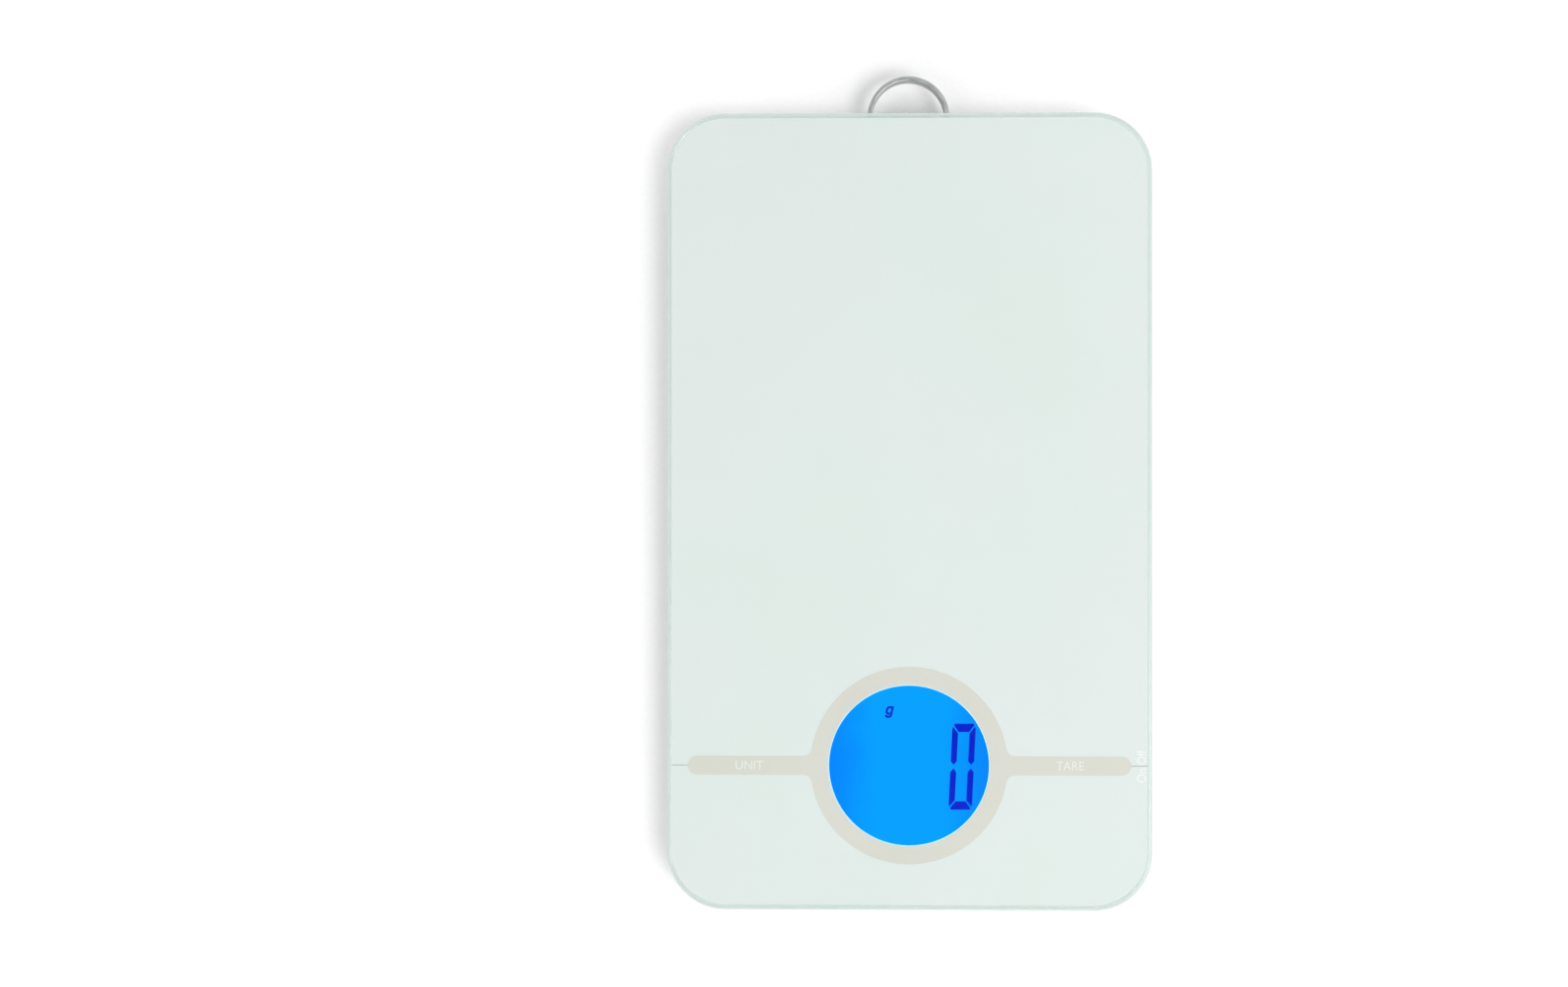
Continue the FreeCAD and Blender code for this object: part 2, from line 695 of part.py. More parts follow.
def battery_cover():
    """A flush panel with a round hinge edge and two pins, and half of a thumb notch at the other end."""
    width = around("0", "well_width - 2 * lid_gap")
    front = "(well_along - well_length / 2 + lid_gap)"
    hinge_z = "tray_base + knuckle_radius"
    panel = block("lid_panel", width, (front, lid_hinge_y), ("tray_base", "tray_base + lid_thick"))
    barrel = cross_rod("lid_barrel", width, lid_hinge_y, hinge_z, "2 * knuckle_radius")
    pins = cross_rod("lid_pins", around("0", "well_width + 2 * pin_reach"), lid_hinge_y, hinge_z, "pin_size")
    notch = rod("lid_notch", "0", front, ("0", "tray_base + thumb_deep"), "thumb_size")
    keep(cut("lid", joined("lid_blank", [panel, barrel, pins]), [notch]), "battery_cover")


# Hanging loop

def hanging_loop():
    """A strip on edge, bent to a half circle, whose legs run under the glass and turn out into tabs."""
    level = ("loop_low", loop_high)
    bend_y = "glass_length / 2"
    outer = rod("loop_outer", "0", bend_y, level, "2 * loop_reach")
    inner = rod("loop_inner", "0", bend_y, level, "2 * (loop_reach - loop_strip)")
    front = block("loop_front_half", around("0", "3 * loop_reach"), (f"{bend_y} - 2 * loop_reach", bend_y), level)
    pieces = [cut("loop_bend", outer, [inner, front])]
    tab_front = f"({cavity_y} - loop_gap - loop_strip)"
    for side in sides:
        leg = around(f"{side} * (loop_reach - loop_strip / 2)", "loop_strip")
        tab = around(f"{side} * (loop_reach + loop_tab / 2)", "loop_tab")
        pieces.append(block(f"loop_leg_{side + 1}", leg, (tab_front, bend_y), level))
        pieces.append(block(f"loop_tab_{side + 1}", tab, (tab_front, f"{tab_front} + loop_strip"), level))
    keep(joined("loop", pieces), "hanging_loop")


def loop_retainer():
    """A thin plate over the legs of the loop, and its two screws."""
    level = (loop_lid_low, f"({loop_lid_low} + loop_lid_thick)")
    plate = block("loop_lid", around("0", "loop_lid_width"), around(loop_screw_y, "loop_lid_length"), level)
    holes = []
    screws = []
    for side in sides:
        x = f"{side} * loop_screw_x"
        holes.append(rod(f"loop_lid_hole_{side + 1}", x, loop_screw_y, level, "screw_size"))
        screws.append(screw(f"loop_screw_{side + 1}", x, loop_screw_y, level[1], "low_head_thick"))
    keep(cut("loop_lid_cut", plate, holes), "loop_retainer")
    keep(group("loop_screw_set", screws), "loop_screws")


# Leads

def lead_path(points):
    """Straight runs joined by tangent arcs, each as large as its two runs allow."""
    edges = []
    start = points[0]
    for before, corner, after in zip(points, points[1:], points[2:]):
        back = (before - corner).normalize()
        ahead = (after - corner).normalize()
        reach = 0.45 * min((before - corner).Length, (after - corner).Length)
        half_open = back.getAngle(ahead) / 2
        radius = reach * math.tan(half_open)
        to_arc = reach / math.cos(half_open) - radius
        arc = [corner + back * reach, corner + (back + ahead).normalize() * to_arc, corner + ahead * reach]
        edges.append(Part.LineSegment(start, arc[0]).toShape())
        edges.append(Part.Arc(*arc).toShape())
        start = arc[2]
    edges.append(Part.LineSegment(start, points[-1]).toShape())
    return Part.Wire(edges)


def lead(label, *points):
    """A round insulated lead along its route."""
    points = [Vector(*point) for point in points]
    path = lead_path(points)
    radius = sheet.lead_size / 2
    ring = Part.Wire(Part.Circle(points[0], points[1] - points[0], radius).toShape())
    made = doc.addObject("Part::Feature", label)
    made.Shape = path.makePipeShell([ring], True, False)
    expected = math.pi * radius ** 2 * path.Length
    if abs(made.Shape.Volume / expected - 1) > 0.02:
        raise RuntimeError(f"{label}: volume is not its section times its length")
    keep(made, label)


def leads():
    """Sensor leads go down to the floor and along it, from each cell to the edge of the board."""
    end_gap = 0.1
    cell_side = sheet.foot_across - 7
    cell_end = sheet.foot_along - sheet.cell_length / 2 - end_gap
    cell_mid = sheet.cell_low + sheet.cell_thick / 2
    on_floor = sheet.tray_base + sheet.tray_floor + sheet.lead_size / 2 + 0.2
    board_mid = sheet.board_low + sheet.board_thick / 2
    display = sheet.display_front - sheet.glass_length / 2
    board_rear = display + sheet.board_length / 2 + end_gap
    board_side = sheet.board_width / 2 + end_gap
    for name, side in (("left", -1), ("right", 1)):
        lead(f"sensor_lead_rear_{name}",
             (side * cell_side, cell_end, cell_mid),
             (side * cell_side, cell_end - 14, on_floor),
             (side * 32, 22, on_floor),
             (side * 24, -10, on_floor),
             (side * 22, board_rear + 12, board_mid),
             (side * 22, board_rear, board_mid))
        lead(f"sensor_lead_front_{name}",
             (side * cell_side, -cell_end, cell_mid),
             (side * cell_side, -cell_end + 16, cell_mid),
             (side * board_side, -cell_end + 16, cell_mid))
    tail = sheet.well_along - sheet.well_length / 2 - sheet.well_wall - sheet.strip_tail - end_gap
    ceiling = sheet.well_ceiling - sheet.strip_thick / 2
    for title, across, level in (("positive", 0, ceiling - 0.5), ("negative", -sheet.minus_across, ceiling)):
        lead(f"battery_lead_{title}",
             (across, tail, level),
             (across, tail - 8, level),
             (across + 1.5, board_rear + 8, board_mid),
             (across + 1.5, board_rear, board_mid))
    card_mid = sheet.button_level - (sheet.switch_high + sheet.card_thick) / 2
    card_end = display + sheet.card_length / 2 + end_gap
    lead("switch_lead",
         (sheet.card_across, card_end, card_mid),
         (sheet.card_across, card_end + 12, card_mid),
         (50, card_end + 21, cell_mid),
         (board_side, card_end + 21, board_mid))


glass_platform()
prints()
mounting_tape()
base_tray()
for corner in corners:
    foot(corner)
    load_cell(corner)
    cell_retainer(corner)
retainer_screws()
display_frame()
display_stack()
main_board()
board_components()
touch_parts()
power_button()
side_switch()
battery()
battery_cover()
hanging_loop()
loop_retainer()
leads()

doc.recompute()
failed = [thing.Label for thing in doc.Objects if "Invalid" in thing.State or "Error" in thing.State]
failed += [label for label, thing in subparts.items() if thing.Shape.isNull() or not thing.Shape.isValid()]
if failed:
    raise RuntimeError(f"not sound: {failed}")

for label, thing in subparts.items():
    thing.Shape.exportStep(f"parts/{label}.step")
    print(f"{label}: {len(thing.Shape.Solids)} solid, {thing.Shape.Volume:.1f} mm3")
print(f"{len(subparts)} sub-parts")
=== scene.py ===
import json
import math
import bmesh
import bpy
from mathutils import Matrix, Vector


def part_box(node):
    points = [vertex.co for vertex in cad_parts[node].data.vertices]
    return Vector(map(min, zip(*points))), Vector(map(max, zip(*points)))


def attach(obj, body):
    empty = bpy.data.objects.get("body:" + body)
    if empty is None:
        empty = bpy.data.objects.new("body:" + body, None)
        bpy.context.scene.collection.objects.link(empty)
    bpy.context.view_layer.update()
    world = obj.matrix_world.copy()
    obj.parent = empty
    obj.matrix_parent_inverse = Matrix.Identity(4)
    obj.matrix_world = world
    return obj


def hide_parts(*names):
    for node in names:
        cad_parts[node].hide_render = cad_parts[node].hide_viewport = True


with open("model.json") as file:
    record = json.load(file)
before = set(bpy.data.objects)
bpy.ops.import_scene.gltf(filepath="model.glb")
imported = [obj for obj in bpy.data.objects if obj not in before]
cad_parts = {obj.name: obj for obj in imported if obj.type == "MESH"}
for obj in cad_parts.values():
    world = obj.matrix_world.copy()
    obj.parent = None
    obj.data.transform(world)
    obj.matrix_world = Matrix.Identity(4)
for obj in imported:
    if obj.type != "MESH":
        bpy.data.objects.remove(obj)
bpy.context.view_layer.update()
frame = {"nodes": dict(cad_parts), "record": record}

mm = 0.001
scene = bpy.context.scene
nodes = frame["nodes"]
glassLow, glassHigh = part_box("glass_platform")
glassMiddle = (glassLow + glassHigh) / 2
inkLow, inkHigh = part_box("ring_print")
lcdLow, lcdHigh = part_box("lcd_panel")
display = Vector(((lcdLow.x + lcdHigh.x) / 2, (lcdLow.y + lcdHigh.y) / 2, lcdHigh.z))
print("frame loaded:", len(nodes), "nodes")


def linear(hexColour):
    parts = [int(hexColour[i:i + 2], 16) / 255 for i in (1, 3, 5)]
    return tuple(p / 12.92 if p <= 0.04045 else ((p + 0.055) / 1.055) ** 2.4 for p in parts) + (1.0,)


def addNode(tree, kind, values=None, links=None, **settings):
    node = tree.nodes.new(kind)
    for name, value in settings.items():
        setattr(node, name, value)
    for socket, value in (values or {}).items():
        node.inputs[socket].default_value = value
    for socket, source in (links or {}).items():
        tree.links.new(source, node.inputs[socket])
    return node


def startMaterial(name):
    material = bpy.data.materials.new(name)
    material.use_nodes = True
    tree = material.node_tree
    tree.nodes.clear()
    return material, tree, addNode(tree, "ShaderNodeOutputMaterial")


def cloudiness(tree, size, detail=3.0, stretch=(1, 1, 1), seed=0.0):
    # soft noise whose blobs are about size metres across, stretched along one way where wanted
    place = addNode(tree, "ShaderNodeTexCoord")
    mapped = addNode(tree, "ShaderNodeMapping", {"Scale": stretch, "Location": (seed, seed, seed)},
                     {"Vector": place.outputs["Object"]})
    return addNode(tree, "ShaderNodeTexNoise", {"Scale": 1 / size, "Detail": detail, "Roughness": 0.55},
                   {"Vector": mapped.outputs["Vector"]})


def between(tree, factor, low, high, lowColour, highColour):
    # one colour below low, the other above high, and a smooth change between them
    share = addNode(tree, "ShaderNodeMapRange", {"From Min": low, "From Max": high}, {"Value": factor},
                    interpolation_type="SMOOTHSTEP")
    mixed = addNode(tree, "ShaderNodeMix", {6: linear(lowColour), 7: linear(highColour)},
                    {0: share.outputs["Result"]}, data_type="RGBA")
    return mixed.outputs[2]


def spread(tree, factor, low, high):
    # noise turned into a narrow band of values, for roughness
    band = addNode(tree, "ShaderNodeMapRange",
                   {"From Min": 0.3, "From Max": 0.7, "To Min": low, "To Max": high}, {"Value": factor})
    return band.outputs["Result"]


def mouldedPlastic(name, colour, shade, roughness, grain, depth):
    # injection-moulded plastic: an even colour with a faint drift, and the mould's fine eroded grain
    material, tree, output = startMaterial(name)
    drift = cloudiness(tree, 18 * mm, 2.0)
    pits = cloudiness(tree, grain, 2.0)
    bump = addNode(tree, "ShaderNodeBump", {"Strength": 0.35, "Distance": depth},
                   {"Height": pits.outputs["Fac"]})
    surface = addNode(tree, "ShaderNodeBsdfPrincipled", {"IOR": 1.53, "Specular IOR Level": 0.45}, {
        "Base Color": between(tree, drift.outputs["Fac"], 0.35, 0.65, shade, colour),
        "Roughness": spread(tree, pits.outputs["Fac"], roughness - 0.05, roughness + 0.06),
        "Normal": bump.outputs["Normal"]})
    tree.links.new(surface.outputs["BSDF"], output.inputs["Surface"])
    return material


def screenInk(name, colour, shade, meshSize=0.35 * mm):
    # screen-printed ink under glass: flat and matt, a shade thinner here and there, with the screen's weave
    material, tree, output = startMaterial(name)
    thin = cloudiness(tree, 42 * mm, 2.0, seed=0.31)
    weave = cloudiness(tree, meshSize, 1.0)
    surface = addNode(tree, "ShaderNodeBsdfPrincipled", {"IOR": 1.5, "Specular IOR Level": 0.3}, {
        "Base Color": between(tree, thin.outputs["Fac"], 0.3, 0.7, shade, colour),
        "Roughness": spread(tree, weave.outputs["Fac"], 0.5, 0.62)})
    tree.links.new(surface.outputs["BSDF"], output.inputs["Surface"])
    return material


def rolledMetal(name, colour, shade, roughness, size, stretch, depth=0.004 * mm):
    # rolled or plated sheet metal: fine streaks one way that break the shine up, and a faint tarnish
    material, tree, output = startMaterial(name)
    streaks = cloudiness(tree, size, 3.0, stretch)
    tarnish = cloudiness(tree, 5 * mm, 2.0, seed=0.7)
    bump = addNode(tree, "ShaderNodeBump", {"Strength": 0.3, "Distance": depth},
                   {"Height": streaks.outputs["Fac"]})
    surface = addNode(tree, "ShaderNodeBsdfPrincipled", {"Metallic": 1.0}, {
        "Base Color": between(tree, tarnish.outputs["Fac"], 0.35, 0.65, shade, colour),
        "Roughness": spread(tree, streaks.outputs["Fac"], roughness - 0.07, roughness + 0.08),
        "Normal": bump.outputs["Normal"]})
    tree.links.new(surface.outputs["BSDF"], output.inputs["Surface"])
    return material


def floatGlass(name, roughness, tint, paler, bonded=False, clear=1.0):
    # toughened float glass: clear on its face and a pale sea green at its ground edge, which is frosted, so
    # that only part of the light goes through it. The bonded underside lets light straight on into the ink
    material, tree, output = startMaterial(name)
    wash = cloudiness(tree, 60 * mm, 2.0, seed=0.12)
    shade = between(tree, wash.outputs["Fac"], 0.3, 0.7, tint, paler)
    if bonded:
        contact = addNode(tree, "ShaderNodeBsdfTransparent", links={"Color": shade})
        tree.links.new(contact.outputs["BSDF"], output.inputs["Surface"])
        return material
    surface = addNode(tree, "ShaderNodeBsdfPrincipled", {
        "IOR": 1.52, "Transmission Weight": clear, "Roughness": roughness}, {"Base Color": shade})
    path = addNode(tree, "ShaderNodeLightPath")
    lampRays = addNode(tree, "ShaderNodeMath", links={
        0: path.outputs["Is Shadow Ray"], 1: path.outputs["Is Diffuse Ray"]}, operation="MAXIMUM")
    clearWay = addNode(tree, "ShaderNodeBsdfTransparent", {"Color": (0.95, 0.95, 0.95, 1.0)})
    choice = addNode(tree, "ShaderNodeMixShader", links={
        0: lampRays.outputs["Value"], 1: surface.outputs["BSDF"], 2: clearWay.outputs["BSDF"]})
    tree.links.new(choice.outputs["Shader"], output.inputs["Surface"])
    return material


def litCell():
    # backlit liquid-crystal cell: blue all over, deeper towards both sides where the lamp's light is weaker
    material, tree, output = startMaterial("litCell")
    place = addNode(tree, "ShaderNodeTexCoord")
    fromMiddle = addNode(tree, "ShaderNodeVectorMath", {1: display}, {0: place.outputs["Object"]},
                         operation="SUBTRACT")
    apart = addNode(tree, "ShaderNodeSeparateXYZ", links={"Vector": fromMiddle.outputs["Vector"]})
    sideways = addNode(tree, "ShaderNodeMath", links={0: apart.outputs["X"]}, operation="ABSOLUTE")
    ripple = cloudiness(tree, 9 * mm, 2.0)
    wander = addNode(tree, "ShaderNodeMath", {1: 6 * mm, 2: -3 * mm},
                     {0: ripple.outputs["Fac"]}, operation="MULTIPLY_ADD")
    reach = addNode(tree, "ShaderNodeMath", links={0: sideways.outputs["Value"], 1: wander.outputs["Value"]},
                    operation="ADD")
    colour = between(tree, reach.outputs["Value"], 8 * mm, 24 * mm, "#009fff", "#0085fa")
    surface = addNode(tree, "ShaderNodeBsdfPrincipled",
                      {"Base Color": linear("#000a24"), "Roughness": 0.08, "Specular IOR Level": 0.1,
                       "Emission Strength": 1.06}, {"Emission Color": colour})
    tree.links.new(surface.outputs["BSDF"], output.inputs["Surface"])
    return material


def glowingEdge(name, colour, strength, base):
    # a surface that shows by its own emission, with a little unevenness: the lamp's and the display's real
    # light, and on the window's cut edge a painted glow
    material, tree, output = startMaterial(name)
    uneven = cloudiness(tree, 4 * mm, 2.0)
    glow = between(tree, uneven.outputs["Fac"], 0.35, 0.65, colour[0], colour[1])
    surface = addNode(tree, "ShaderNodeBsdfPrincipled",
                      {"Base Color": linear(base), "Roughness": 0.2, "Specular IOR Level": 0.1,
                       "Emission Strength": strength}, {"Emission Color": glow})
    tree.links.new(surface.outputs["BSDF"], output.inputs["Surface"])
    return material


def brushedStrip(name, centre, colour, shade, roughness):
    # stainless strip, brushed lengthways and then bent: fine lines that follow the bend round its centre
    material, tree, output = startMaterial(name)
    place = addNode(tree, "ShaderNodeTexCoord")
    fromCentre = addNode(tree, "ShaderNodeVectorMath", {1: centre}, {0: place.outputs["Object"]},
                         operation="SUBTRACT")
    apart = addNode(tree, "ShaderNodeSeparateXYZ", links={"Vector": fromCentre.outputs["Vector"]})
    turn = addNode(tree, "ShaderNodeMath", links={0: apart.outputs["X"], 1: apart.outputs["Y"]},
                   operation="ARCTAN2")
    along = addNode(tree, "ShaderNodeMath", {1: 0.6 * mm}, {0: turn.outputs["Value"]}, operation="MULTIPLY")
    flat = addNode(tree, "ShaderNodeCombineXYZ", links={"X": apart.outputs["X"], "Y": apart.outputs["Y"]})
    out = addNode(tree, "ShaderNodeVectorMath", links={0: flat.outputs["Vector"]}, operation="LENGTH")
    lines = addNode(tree, "ShaderNodeCombineXYZ", links={
        "X": along.outputs["Value"], "Y": out.outputs["Value"], "Z": apart.outputs["Z"]})
    grain = addNode(tree, "ShaderNodeTexNoise", {"Scale": 1 / (0.16 * mm), "Detail": 3.0},
                    {"Vector": lines.outputs["Vector"]})
    bump = addNode(tree, "ShaderNodeBump", {"Strength": 0.35, "Distance": 0.01 * mm},
                   {"Height": grain.outputs["Fac"]})
    surface = addNode(tree, "ShaderNodeBsdfPrincipled", {"Metallic": 1.0}, {
        "Base Color": between(tree, grain.outputs["Fac"], 0.3, 0.7, shade, colour),
        "Roughness": spread(tree, grain.outputs["Fac"], roughness - 0.06, roughness + 0.08),
        "Normal": bump.outputs["Normal"]})
    tree.links.new(surface.outputs["BSDF"], output.inputs["Surface"])
    return material


def solderMask():
    # fibreglass board under green solder mask: copper tracks stand up faintly and look paler
    material, tree, output = startMaterial("solderMask")
    place = addNode(tree, "ShaderNodeTexCoord")
    tracks = addNode(tree, "ShaderNodeTexBrick",
                     {"Scale": 1.0, "Mortar Size": 0.3 * mm, "Brick Width": 7 * mm, "Row Height": 1.6 * mm,
                      "Color1": linear("#1d6b3c"), "Color2": linear("#1a6237"), "Mortar": linear("#2f8a52")},
                     {"Vector": place.outputs["Object"]})
    bump = addNode(tree, "ShaderNodeBump", {"Strength": 0.5, "Distance": 0.03 * mm},
                   {"Height": tracks.outputs["Fac"]})
    surface = addNode(tree, "ShaderNodeBsdfPrincipled", {"Roughness": 0.28, "IOR": 1.5}, {
        "Base Color": tracks.outputs["Color"], "Normal": bump.outputs["Normal"]})
    tree.links.new(surface.outputs["BSDF"], output.inputs["Surface"])
    return material


def cellFoam():
    # closed-cell foam tape: near black, matt, with open pores along its cut edge, coloured darker toward
    # each pore's middle as painted shade in the pores
    material, tree, output = startMaterial("closedCellFoam")
    place = addNode(tree, "ShaderNodeTexCoord")
    pores = addNode(tree, "ShaderNodeTexVoronoi", {"Scale": 1 / (0.25 * mm)},
                    {"Vector": place.outputs["Object"]})
    bump = addNode(tree, "ShaderNodeBump", {"Strength": 0.8, "Distance": 0.05 * mm},
                   {"Height": pores.outputs["Distance"]})
    surface = addNode(tree, "ShaderNodeBsdfPrincipled", {"Roughness": 0.9}, {
        "Base Color": between(tree, pores.outputs["Distance"], 0.1, 0.6, "#121314", "#2a2b2c"),
        "Normal": bump.outputs["Normal"]})
    tree.links.new(surface.outputs["BSDF"], output.inputs["Surface"])
    return material


def stripedRubber():
    # silicone strip with conducting layers every fraction of a millimetre, pink between black
    material, tree, output = startMaterial("zebraRubber")
    place = addNode(tree, "ShaderNodeTexCoord")
    layers = addNode(tree, "ShaderNodeTexWave", {"Scale": 0.314 / (0.8 * mm)},
                     {"Vector": place.outputs["Object"]}, bands_direction="X")
    surface = addNode(tree, "ShaderNodeBsdfPrincipled", {"Roughness": 0.6}, {
        "Base Color": between(tree, layers.outputs["Fac"], 0.45, 0.55, "#1a1a1c", "#d79aa0")})
    tree.links.new(surface.outputs["BSDF"], output.inputs["Surface"])
    return material


loopCentre = Vector((glassMiddle.x, glassHigh.y, 0))
# each slot of the record: the finish the real surface has
finishes = {
    "clear_glass": floatGlass("floatGlass", 0.0, "#fdfffe", "#fefffe"),
    "white_print": screenInk("whiteScreenInk", "#dae0de", "#d9dfdd"),
    "beige_print": screenInk("beigeScreenInk", "#d3d1c9", "#d0cec5"),
    "white_abs": mouldedPlastic("whiteAbs", "#ebedec", "#e9ecea", 0.42, 0.28 * mm, 0.02 * mm),
    "grey_abs": mouldedPlastic("greyAbs", "#b4b8b9", "#abafb0", 0.46, 0.3 * mm, 0.02 * mm),
    "black_foam": cellFoam(),
    "foot_rubber": mouldedPlastic("greyTpeRubber", "#77797a", "#6c6e70", 0.78, 0.22 * mm, 0.03 * mm),
    # the strip's upright wide faces are coloured darker: partly their brushed finish, partly painted shade
    # for the dark surroundings they mirror
    "steel_strip": brushedStrip("brushedStainless", loopCentre, "#a2a5a6", "#7f8384", 0.24),
    "cell_steel": rolledMetal("nickelPlatedSteel", "#c9c8c2", "#bcbab3", 0.3, 0.2 * mm, (1, 0.05, 1)),
    "screw_steel": rolledMetal("zincPlatedSteel", "#c2c4c6", "#b2b4b8", 0.32, 0.15 * mm, (1, 1, 1)),
    "contact_metal": rolledMetal("phosphorBronze", "#d8b98a", "#c9a776", 0.3, 0.12 * mm, (1, 0.05, 1)),
    "coin_steel": rolledMetal("stainlessCan", "#cfd0d0", "#c3c4c5", 0.24, 0.2 * mm, (1, 0.08, 1)),
    "circuit_board": solderMask(),
    "chip_black": mouldedPlastic("epoxyMould", "#232427", "#1c1d20", 0.5, 0.12 * mm, 0.01 * mm),
    "display_blue": litCell(),
    "guide_acrylic": mouldedPlastic("pressedAcrylic", "#d6ecf7", "#cce6f4", 0.14, 0.6 * mm, 0.02 * mm),
    "mirror_film": rolledMetal("silveredFilm", "#f2f3f3", "#eaebec", 0.16, 2.5 * mm, (1, 1, 1)),
    "lamp_white": glowingEdge("ledLens", ("#eaf4ff", "#ffffff"), 0.6, "#f3f1e4"),
    "zebra_rubber": stripedRubber(),
    "copper_film": rolledMetal("copperFilm", "#d9926a", "#c98258", 0.3, 0.3 * mm, (1, 0.1, 1)),
    "gauge_coat": mouldedPlastic("gaugeLacquer", "#f0efe6", "#e4e2d6", 0.3, 0.4 * mm, 0.02 * mm),
    "lead_white": mouldedPlastic("whitePvc", "#eeeeea", "#e2e2dd", 0.38, 0.2 * mm, 0.01 * mm),
    "lead_red": mouldedPlastic("redPvc", "#b3202a", "#a31c25", 0.38, 0.2 * mm, 0.01 * mm),
    "lead_black": mouldedPlastic("blackPvc", "#1d1d1f", "#151517", 0.38, 0.2 * mm, 0.01 * mm),
}
groundEdge = floatGlass("groundGlassEdge", 0.2, "#c8d7d1", "#cddad5", clear=0.4)
inkedFace = floatGlass("inkedGlassFace", 0.0, "#fdfffe", "#feffff", bonded=True)
# the strip's cut edges, facing up and down, are coloured lighter: partly their satin finish, partly a
# painted lit side
satinLitEdge = brushedStrip("satinStainlessEdge", loopCentre, "#cbcdcd", "#a6a9aa", 0.4)
paleInk = screenInk("paleScreenInk", "#e2e4e0", "#dfe1dd")
brightInk = screenInk("brightScreenInk", "#edefed", "#eaecea")
greyInk = screenInk("greyScreenInk", "#b3bab7", "#adb4b1")
segmentInk = glowingEdge("darkSegment", ("#001ccc", "#0020d6"), 1.0, "#000414")
# painted glow: emission on the ink's cut edge, standing in for the display's light that it catches
paintedRimGlow = glowingEdge("litWindowEdge", ("#8fdcfb", "#9be3ff"), 0.9, "#86a3b0")
for slotOf in frame["record"]["materials"]:
    for nodeName in nodes:
        held = nodes[nodeName].data.materials
        if held and held[0] and held[0].name.split(".")[0] == slotOf["slot"]:
            held[0] = finishes[slotOf["slot"]]
print("materials made:", len(finishes))


def finishPiece(name, bm, material, body="case", replaced=(), sharp=32):
    bmesh.ops.remove_doubles(bm, verts=bm.verts, dist=0.001 * mm)
    bmesh.ops.recalc_face_normals(bm, faces=bm.faces)
    mesh = bpy.data.meshes.new(name)
    bm.to_mesh(mesh)
    bm.free()
    mesh.shade_smooth()
    mesh.set_sharp_from_angle(angle=math.radians(sharp))
    mesh.materials.append(material)
    piece = bpy.data.objects.new(name, mesh)
    scene.collection.objects.link(piece)
    even = piece.modifiers.new("evenShading", "WEIGHTED_NORMAL")
    even.keep_sharp = True
    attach(piece, body)
    if replaced:
        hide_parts(*replaced)
    return piece


def slab(bm, middle, width, length, bottom, top, corner=0.0, steps=8):
    # a flat block with round corners, standing from bottom to top
    made = bmesh.ops.create_grid(bm, x_segments=1, y_segments=1, size=0.5)
    bmesh.ops.scale(bm, vec=(width, length, 1), verts=made["verts"])
    bmesh.ops.translate(bm, vec=(middle[0], middle[1], bottom), verts=made["verts"])
    face = made["verts"][0].link_faces[0]
    if corner:
        bmesh.ops.bevel(bm, geom=face.verts[:], offset=corner, offset_type="OFFSET", segments=steps,
                        profile=0.5, material=-1, affect="VERTICES")
        face = max((f for f in bm.faces if abs(f.calc_center_median().z - bottom) < 1e-7),
                   key=lambda f: f.calc_area())
    raised = bmesh.ops.extrude_face_region(bm, geom=[face], use_keep_orig=True)
    lifted = [v for v in raised["geom"] if isinstance(v, bmesh.types.BMVert)]
    bmesh.ops.translate(bm, vec=(0, 0, top - bottom), verts=lifted)
    return lifted


def roundEdges(bm, edges, size, steps=3):
    bmesh.ops.bevel(bm, geom=list(edges), offset=size, offset_type="OFFSET", segments=steps, profile=0.5,
                    material=-1, affect="EDGES", clamp_overlap=True)


def sharpEdges(bm, degrees=35):
    return [e for e in bm.edges if len(e.link_faces) == 2 and e.calc_face_angle(0) > math.radians(degrees)]


def lathe(bm, profile, axis, steps=64):
    # turns a half outline of (radius, height) about an upright axis
    made = [bm.verts.new((axis[0] + radius, axis[1], height)) for radius, height in profile]
    outline = [bm.edges.new(pair) for pair in zip(made, made[1:])]
    bmesh.ops.spin(bm, geom=made + outline, cent=(axis[0], axis[1], 0), axis=(0, 0, 1),
                   angle=math.tau, steps=steps, use_merge=True)
    bmesh.ops.remove_doubles(bm, verts=bm.verts, dist=0.001 * mm)
    bmesh.ops.recalc_face_normals(bm, faces=bm.faces)


def softenedCopy(node, edge, steps=2, joinBelow=0.7, sharpAbove=40):
    # a merged copy of a CAD solid: its flat faces joined up again and its sharp edges eased
    bm = bmesh.new()
    bm.from_mesh(nodes[node].data)
    bmesh.ops.remove_doubles(bm, verts=bm.verts, dist=0.001 * mm)
    bmesh.ops.dissolve_limit(bm, angle_limit=math.radians(joinBelow), verts=bm.verts, edges=bm.edges)
    if edge:
        roundEdges(bm, sharpEdges(bm, sharpAbove), edge, steps)
    return bm


glassShape = {"corner": 16.5 * mm, "cornerSteps": 24, "arris": 0.95 * mm, "arrisSteps": 5,
              "aboveInk": 0.05 * mm}


def glassPlate():
    bm = bmesh.new()
    size = glassHigh - glassLow
    slab(bm, glassMiddle, size.x, size.y, glassLow.z + glassShape["aboveInk"], glassHigh.z,
         glassShape["corner"], glassShape["cornerSteps"])
    rims = [e for e in bm.edges if abs(e.verts[0].co.z - e.verts[1].co.z) < 1e-7]
    roundEdges(bm, rims, glassShape["arris"], glassShape["arrisSteps"])
    for face in bm.faces:
        face.normal_update()
        face.material_index = 0 if face.normal.z > 0.999 else 2 if face.normal.z < -0.999 else 1
    piece = finishPiece("glassPlate", bm, finishes["clear_glass"], "case",
                        ["glass_platform"], sharp=40)
    piece.data.materials.append(groundEdge)
    piece.data.materials.append(inkedFace)
    return piece


glassPlate()
print("glass made")


